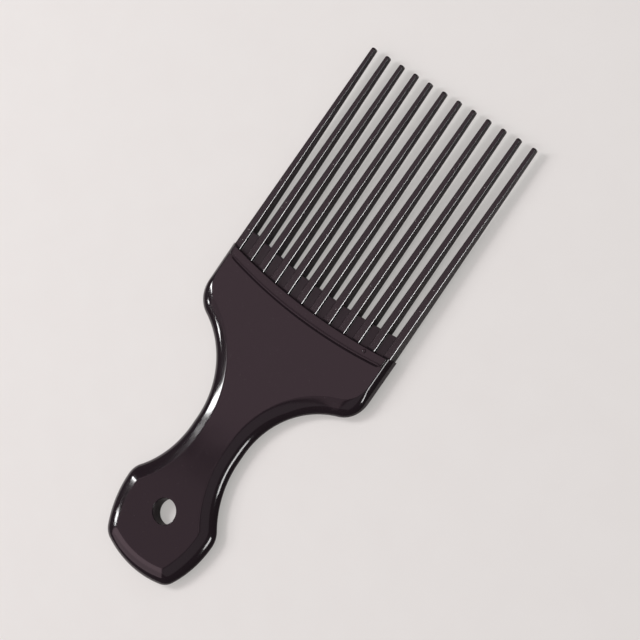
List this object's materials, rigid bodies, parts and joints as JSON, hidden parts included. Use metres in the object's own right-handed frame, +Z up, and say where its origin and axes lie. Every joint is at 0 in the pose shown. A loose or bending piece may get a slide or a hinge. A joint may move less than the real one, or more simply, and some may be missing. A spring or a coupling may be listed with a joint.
{
  "type": "afro pick",
  "caption": "Flat waisted hair pick: long tapered teeth on a raised curved band, broad palm, bevelled grip with a hang hole. For lifting and combing out curly hair.",
  "frame": {"origin": "on the surface that the pick lies on, under the middle of its length and width", "axes": "+X across the teeth to the right, +Y along the teeth from the butt to the tips, +Z up, out of the front face"},
  "size_m": [0.0716, 0.1836, 0.006],
  "materials": {
    "handle_plastic": "polished black moulding with a faint warm tint",
    "tooth_plastic": "black moulding, drawn smooth along the teeth"
  },
  "bodies": {
    "root": {"handle": "handle_plastic", "cross_band": "handle_plastic", "tooth_01": "tooth_plastic", "tooth_02": "tooth_plastic", "tooth_03": "tooth_plastic", "tooth_04": "tooth_plastic", "tooth_05": "tooth_plastic", "tooth_06": "tooth_plastic", "tooth_07": "tooth_plastic", "tooth_08": "tooth_plastic", "tooth_09": "tooth_plastic", "tooth_10": "tooth_plastic", "tooth_11": "tooth_plastic", "tooth_12": "tooth_plastic", "root_web_01": "tooth_plastic", "root_web_02": "tooth_plastic", "root_web_03": "tooth_plastic", "root_web_04": "tooth_plastic", "root_web_05": "tooth_plastic", "root_web_06": "tooth_plastic", "root_web_07": "tooth_plastic", "root_web_08": "tooth_plastic", "root_web_09": "tooth_plastic", "root_web_10": "tooth_plastic", "root_web_11": "tooth_plastic"}
  },
  "joints": []
}
